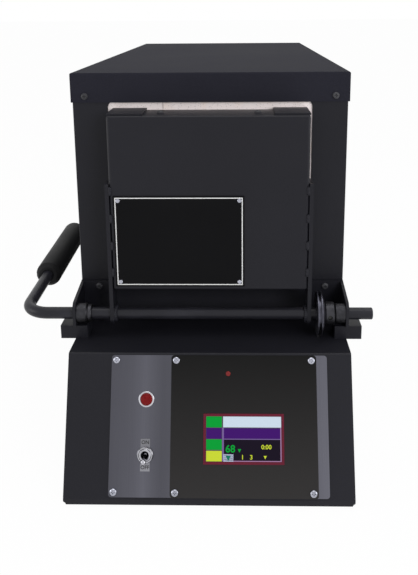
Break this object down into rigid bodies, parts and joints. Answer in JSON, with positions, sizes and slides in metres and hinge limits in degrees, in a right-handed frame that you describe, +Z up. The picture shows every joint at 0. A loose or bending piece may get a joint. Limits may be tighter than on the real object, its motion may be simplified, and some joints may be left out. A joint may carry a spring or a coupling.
{
  "type": "bench heat-treating kiln",
  "caption": "Long firebrick kiln on a sloping control base, with a drop-down front door hung on a cranked rod and side grip, a spiral door-switch cam and a touch controller.",
  "frame": {"origin": "underside of the middle front foot, on the surface the kiln stands on", "axes": "+Z up, +Y from the door towards the back along the chamber, +X to the right as seen from the front"},
  "size_m": [0.3883, 0.8088, 0.4175],
  "materials": {
    "powder_coat": "black powder coat, satin with a fine texture",
    "cover_coat": "black powder coat, satin, slightly smoother",
    "control_steel": "dark stainless sheet, brushed up and down",
    "faceplate_black": "black printed faceplate, semi-matt",
    "zinc_steel": "bright zinc-plated steel",
    "chrome_trim": "polished nickel or chrome plate",
    "black_steel": "black oxide and paint on bar stock, satin",
    "bare_steel": "turned steel, lightly oiled",
    "firebrick": "soft insulating firebrick, matt and porous",
    "fibre": "white ceramic fibre blanket, soft and matt",
    "coil": "oxidised resistance alloy, dull",
    "porcelain": "white glazed porcelain",
    "probe": "fired alumina tube, matt",
    "grip_rubber": "black moulded rubber, semi-matt",
    "foot_rubber": "black rubber, matt",
    "black_plastic": "black moulded plastic",
    "red_frame": "red moulded bezel, semi-gloss",
    "screen": "dark colour touch display, glossy",
    "red_lens": "red ribbed lamp lens, glossy",
    "led_red": "unlit red diode",
    "plate_print": "black anodised plate with a pale border, semi-gloss",
    "board": "green circuit board",
    "legend_plate": "bright stainless legend plate"
  },
  "bodies": {
    "kiln": {"base_case": "powder_coat", "base_feet": "foot_rubber", "base_floor_pan": "powder_coat", "base_rear_panel": "powder_coat", "base_screws": "zinc_steel", "body_case": "powder_coat", "front_panel": "powder_coat", "rear_panel": "powder_coat", "rear_panel_screws": "zinc_steel", "top_cover": "cover_coat", "top_cover_screws": "zinc_steel", "roof_blanket": "fibre", "roof_bricks": "firebrick", "floor_bricks": "firebrick", "left_wall_bricks": "firebrick", "right_wall_bricks": "firebrick", "rear_bricks": "firebrick", "left_element": "coil", "right_element": "coil", "terminal_blocks": "porcelain", "thermocouple": "probe", "thermocouple_block": "porcelain", "control_plate": "control_steel", "controller_faceplate": "faceplate_black", "controller_board": "board", "display_frame": "red_frame", "touch_screen": "screen", "status_light": "led_red", "panel_screws": "zinc_steel", "pilot_bezel": "chrome_trim", "pilot_lens": "red_lens", "power_switch": "black_plastic", "on_off_plate": "legend_plate", "switch_nut": "chrome_trim", "power_relays": "black_plastic", "door_switch": "black_plastic", "cord_gland": "black_plastic", "left_hinge_bracket": "powder_coat", "right_hinge_bracket": "powder_coat", "bracket_screws": "zinc_steel", "hinge_blocks": "powder_coat", "left_bushing": "bare_steel", "right_bushing": "bare_steel"},
    "door": {"hinge_rod": "black_steel", "handle_grip": "grip_rubber", "left_door_arm": "powder_coat", "right_door_arm": "powder_coat", "door_shell": "powder_coat", "door_brick": "firebrick", "door_brick_screws": "black_steel", "info_plate": "plate_print", "plate_rivets": "zinc_steel", "right_collar": "zinc_steel", "left_collar": "zinc_steel", "set_screw": "black_steel", "switch_cam": "bare_steel"},
    "switch_lever_body": {"switch_lever": "chrome_trim"},
    "switch_pin_body": {"switch_pin": "bare_steel"}
  },
  "joints": [
    {"name": "door_hinge", "type": "hinge", "parent": "kiln", "child": "door", "pos_m": [0, 0.08443, 0.1648], "axis": [1, 0, 0], "range_deg": [0, 105]},
    {"name": "power_toggle", "type": "hinge", "parent": "kiln", "child": "switch_lever_body", "pos_m": [-0.0635, 0.00303, 0.04834], "axis": [-1, 0, 0], "range_deg": [0, 26]},
    {"name": "switch_pin_slide", "type": "slide", "parent": "kiln", "child": "switch_pin_body", "axis": [0, 0, 1], "range_m": [-0.0023, 0]}
  ],
  "couplings": [
    {"joint": "switch_pin_slide", "follows": "door_hinge", "m_per_rad": -0.0012}
  ]
}
